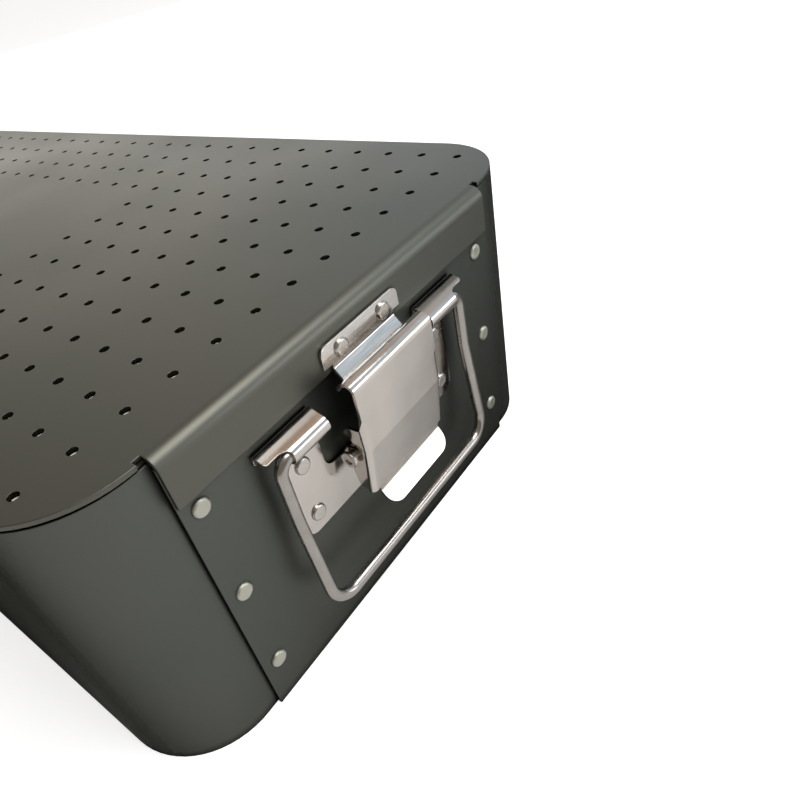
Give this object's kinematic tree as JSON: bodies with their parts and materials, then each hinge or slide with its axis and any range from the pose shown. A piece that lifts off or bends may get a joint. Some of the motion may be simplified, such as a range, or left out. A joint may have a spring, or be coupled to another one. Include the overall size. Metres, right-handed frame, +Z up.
{
  "type": "sterilization container",
  "caption": "Full-size rigid sterilization container of dark anodised aluminium with a perforated lid, and a bail handle and rocking latch at each end.",
  "frame": {"origin": "middle of the bottom", "axes": "+X along the length, +Y across, +Z up"},
  "size_m": [0.6308, 0.271, 0.137],
  "materials": {
    "lid_sheet": "dark grey hard anodised, matt",
    "wall_sheet": "dark grey hard anodised, matt",
    "pan_sheet": "dark grey hard anodised, matt",
    "seal_silicone": "smooth silicone",
    "filter_paper": "non-woven filter paper",
    "holder_steel": "satin stainless steel",
    "stud_steel": "turned stainless steel",
    "knob_plastic": "moulded heat-resistant plastic",
    "rivet_aluminium": "matt aluminium",
    "rivet_steel": "polished stainless steel",
    "plate_steel": "polished stainless steel sheet",
    "wire_steel": "satin stainless steel wire",
    "pin_steel": "polished stainless steel",
    "spring_steel": "spring wire"
  },
  "bodies": {
    "base": {"side_wall_front": "wall_sheet", "side_wall_rear": "wall_sheet", "end_panel_right": "wall_sheet", "end_panel_left": "wall_sheet", "bottom_pan": "pan_sheet", "rim_frame": "pan_sheet", "wall_rivets_right": "rivet_aluminium", "handle_rivets_right": "rivet_steel", "handle_plate_right": "plate_steel", "latch_pin_right": "pin_steel", "latch_spring_right": "spring_steel", "wall_rivets_left": "rivet_aluminium", "handle_rivets_left": "rivet_steel", "handle_plate_left": "plate_steel", "latch_pin_left": "pin_steel", "latch_spring_left": "spring_steel"},
    "lid": {"lid_shell": "lid_sheet", "lid_seal": "seal_silicone", "filter_sheet": "filter_paper", "retention_plate": "holder_steel", "filter_stud_front": "stud_steel", "filter_stud_back": "stud_steel", "keeper_right": "plate_steel", "keeper_rivets_right": "rivet_steel", "keeper_left": "plate_steel", "keeper_rivets_left": "rivet_steel"},
    "front_knob": {"filter_knob_front": "knob_plastic"},
    "back_knob": {"filter_knob_back": "knob_plastic"},
    "right_bail": {"bail_right": "wire_steel"},
    "right_latch": {"latch_cover_right": "plate_steel"},
    "left_bail": {"bail_left": "wire_steel"},
    "left_latch": {"latch_cover_left": "plate_steel"}
  },
  "joints": [
    {"name": "lid_lift", "type": "slide", "parent": "base", "child": "lid", "axis": [0, 0, 1], "range_m": [0, 0.15]},
    {"name": "right_bail_swing", "type": "hinge", "parent": "base", "child": "right_bail", "pos_m": [0.3031, 0, 0.106], "axis": [0, -1, 0], "range_deg": [0, 90]},
    {"name": "right_latch_press", "type": "hinge", "parent": "base", "child": "right_latch", "pos_m": [0.3041, 0, 0.0828], "axis": [0, 1, 0], "range_deg": [0, 22], "stiffness_Nm_per_rad": 0.25, "springref_deg": -28.65},
    {"name": "left_bail_swing", "type": "hinge", "parent": "base", "child": "left_bail", "pos_m": [-0.3031, 0, 0.106], "axis": [0, 1, 0], "range_deg": [0, 90]},
    {"name": "left_latch_press", "type": "hinge", "parent": "base", "child": "left_latch", "pos_m": [-0.3041, 0, 0.0828], "axis": [0, -1, 0], "range_deg": [0, 22], "stiffness_Nm_per_rad": 0.25, "springref_deg": -28.65},
    {"name": "front_knob_turn", "type": "hinge", "parent": "lid", "child": "front_knob", "pos_m": [-0.07, 0, 0.127], "axis": [0, 0, 1], "range_deg": [0, 90]},
    {"name": "back_knob_turn", "type": "hinge", "parent": "lid", "child": "back_knob", "pos_m": [0.07, 0, 0.127], "axis": [0, 0, 1], "range_deg": [0, 90]}
  ]
}
